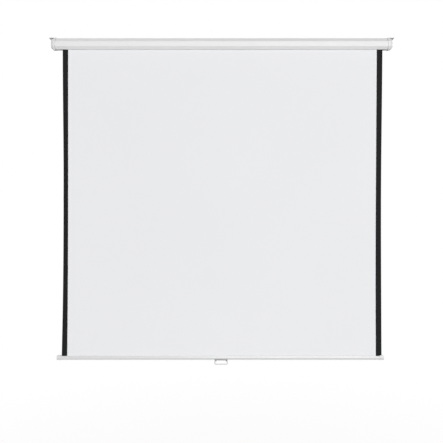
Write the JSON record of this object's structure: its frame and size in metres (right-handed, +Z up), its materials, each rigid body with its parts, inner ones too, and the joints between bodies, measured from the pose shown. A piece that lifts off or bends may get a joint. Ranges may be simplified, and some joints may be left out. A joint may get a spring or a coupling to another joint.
{
  "type": "pull-down wall projector screen",
  "caption": "Manual pull-down wall screen: folded case with hipped end caps, spring roller with ratchet and pawls, black-edged sheet, weighted bottom bar and a swinging pull handle.",
  "frame": {"origin": "on the flat back of the case, where it lies against the wall, half-way along it and at the height of the roller's axis", "axes": "+X to the viewer's right along the case, -Y towards the viewer and out of the wall, +Z up"},
  "size_m": [1.6822, 0.0654, 1.591],
  "materials": {
    "white_paint": "smooth white powder coat on folded steel sheet",
    "white_plastic": "satin moulded white",
    "coated_wire": "pale grey coated steel wire",
    "zinc_steel": "zinc plated",
    "grey_paint": "grey coat on pressed steel",
    "spring_steel": "oiled spring wire",
    "die_cast_zinc": "die cast, tumbled",
    "matt_white_vinyl": "matt white projection surface",
    "black_vinyl": "matt black",
    "bar_aluminium": "white powder coat on extruded aluminium",
    "nylon": "natural moulded"
  },
  "bodies": {
    "case": {"case_shell": "white_paint", "end_cap_left": "white_plastic", "end_cap_right": "white_plastic", "mounting_bracket_left": "zinc_steel", "mounting_bracket_right": "zinc_steel", "cap_screw_left_rear": "zinc_steel", "cap_screw_left_front": "zinc_steel", "cap_screw_right_rear": "zinc_steel", "cap_screw_right_front": "zinc_steel", "bracket_screw_left_rear": "zinc_steel", "bracket_screw_left_front": "zinc_steel", "bracket_screw_right_rear": "zinc_steel", "bracket_screw_right_front": "zinc_steel", "ratchet_wheel": "die_cast_zinc", "spear": "zinc_steel", "spring_rod": "zinc_steel", "torsion_spring": "spring_steel", "screen_sheet": "matt_white_vinyl", "black_border_left": "black_vinyl", "black_border_right": "black_vinyl"},
    "roller": {"roller_tube": "zinc_steel", "sheet_wraps": "matt_white_vinyl", "ratchet_ferrule": "die_cast_zinc", "spring_plug": "nylon", "idle_plug": "die_cast_zinc", "gudgeon": "zinc_steel", "pawl_rivet_a": "zinc_steel", "pawl_rivet_b": "zinc_steel"},
    "pawl_a": {"pawl_a": "die_cast_zinc"},
    "pawl_b": {"pawl_b": "die_cast_zinc"},
    "bar": {"bottom_bar": "bar_aluminium", "bar_cap_left": "white_plastic", "bar_cap_right": "white_plastic", "hem_rod": "nylon", "handle_saddle": "grey_paint", "saddle_screw_left": "zinc_steel", "saddle_screw_right": "zinc_steel"},
    "handle": {"pull_handle": "coated_wire"}
  },
  "joints": [
    {"name": "screen_drop", "type": "slide", "parent": "case", "child": "bar", "axis": [0, 0, 1], "range_m": [0, 1.47906], "deforming": ["screen_sheet", "black_border_left", "black_border_right"]},
    {"name": "roller_spin", "type": "hinge", "parent": "case", "child": "roller", "pos_m": [0, -0.0283, 0], "axis": [1, 0, 0], "range_deg": [-3960, 0], "deforming": ["torsion_spring"]},
    {"name": "pawl_a_swing", "type": "hinge", "parent": "roller", "child": "pawl_a", "pos_m": [0, -0.0283, 0.0148], "axis": [1, 0, 0], "range_deg": [-13.9, 6]},
    {"name": "pawl_b_swing", "type": "hinge", "parent": "roller", "child": "pawl_b", "pos_m": [0, -0.0283, -0.0148], "axis": [1, 0, 0], "range_deg": [-13.9, 6]},
    {"name": "handle_swing", "type": "hinge", "parent": "bar", "child": "handle", "pos_m": [-0.003, -0.05025, -1.53886], "axis": [1, 0, 0], "range_deg": [-90, 90]}
  ],
  "couplings": [
    {"joint": "roller_spin", "follows": "screen_drop", "rad_per_m": -46.729}
  ]
}
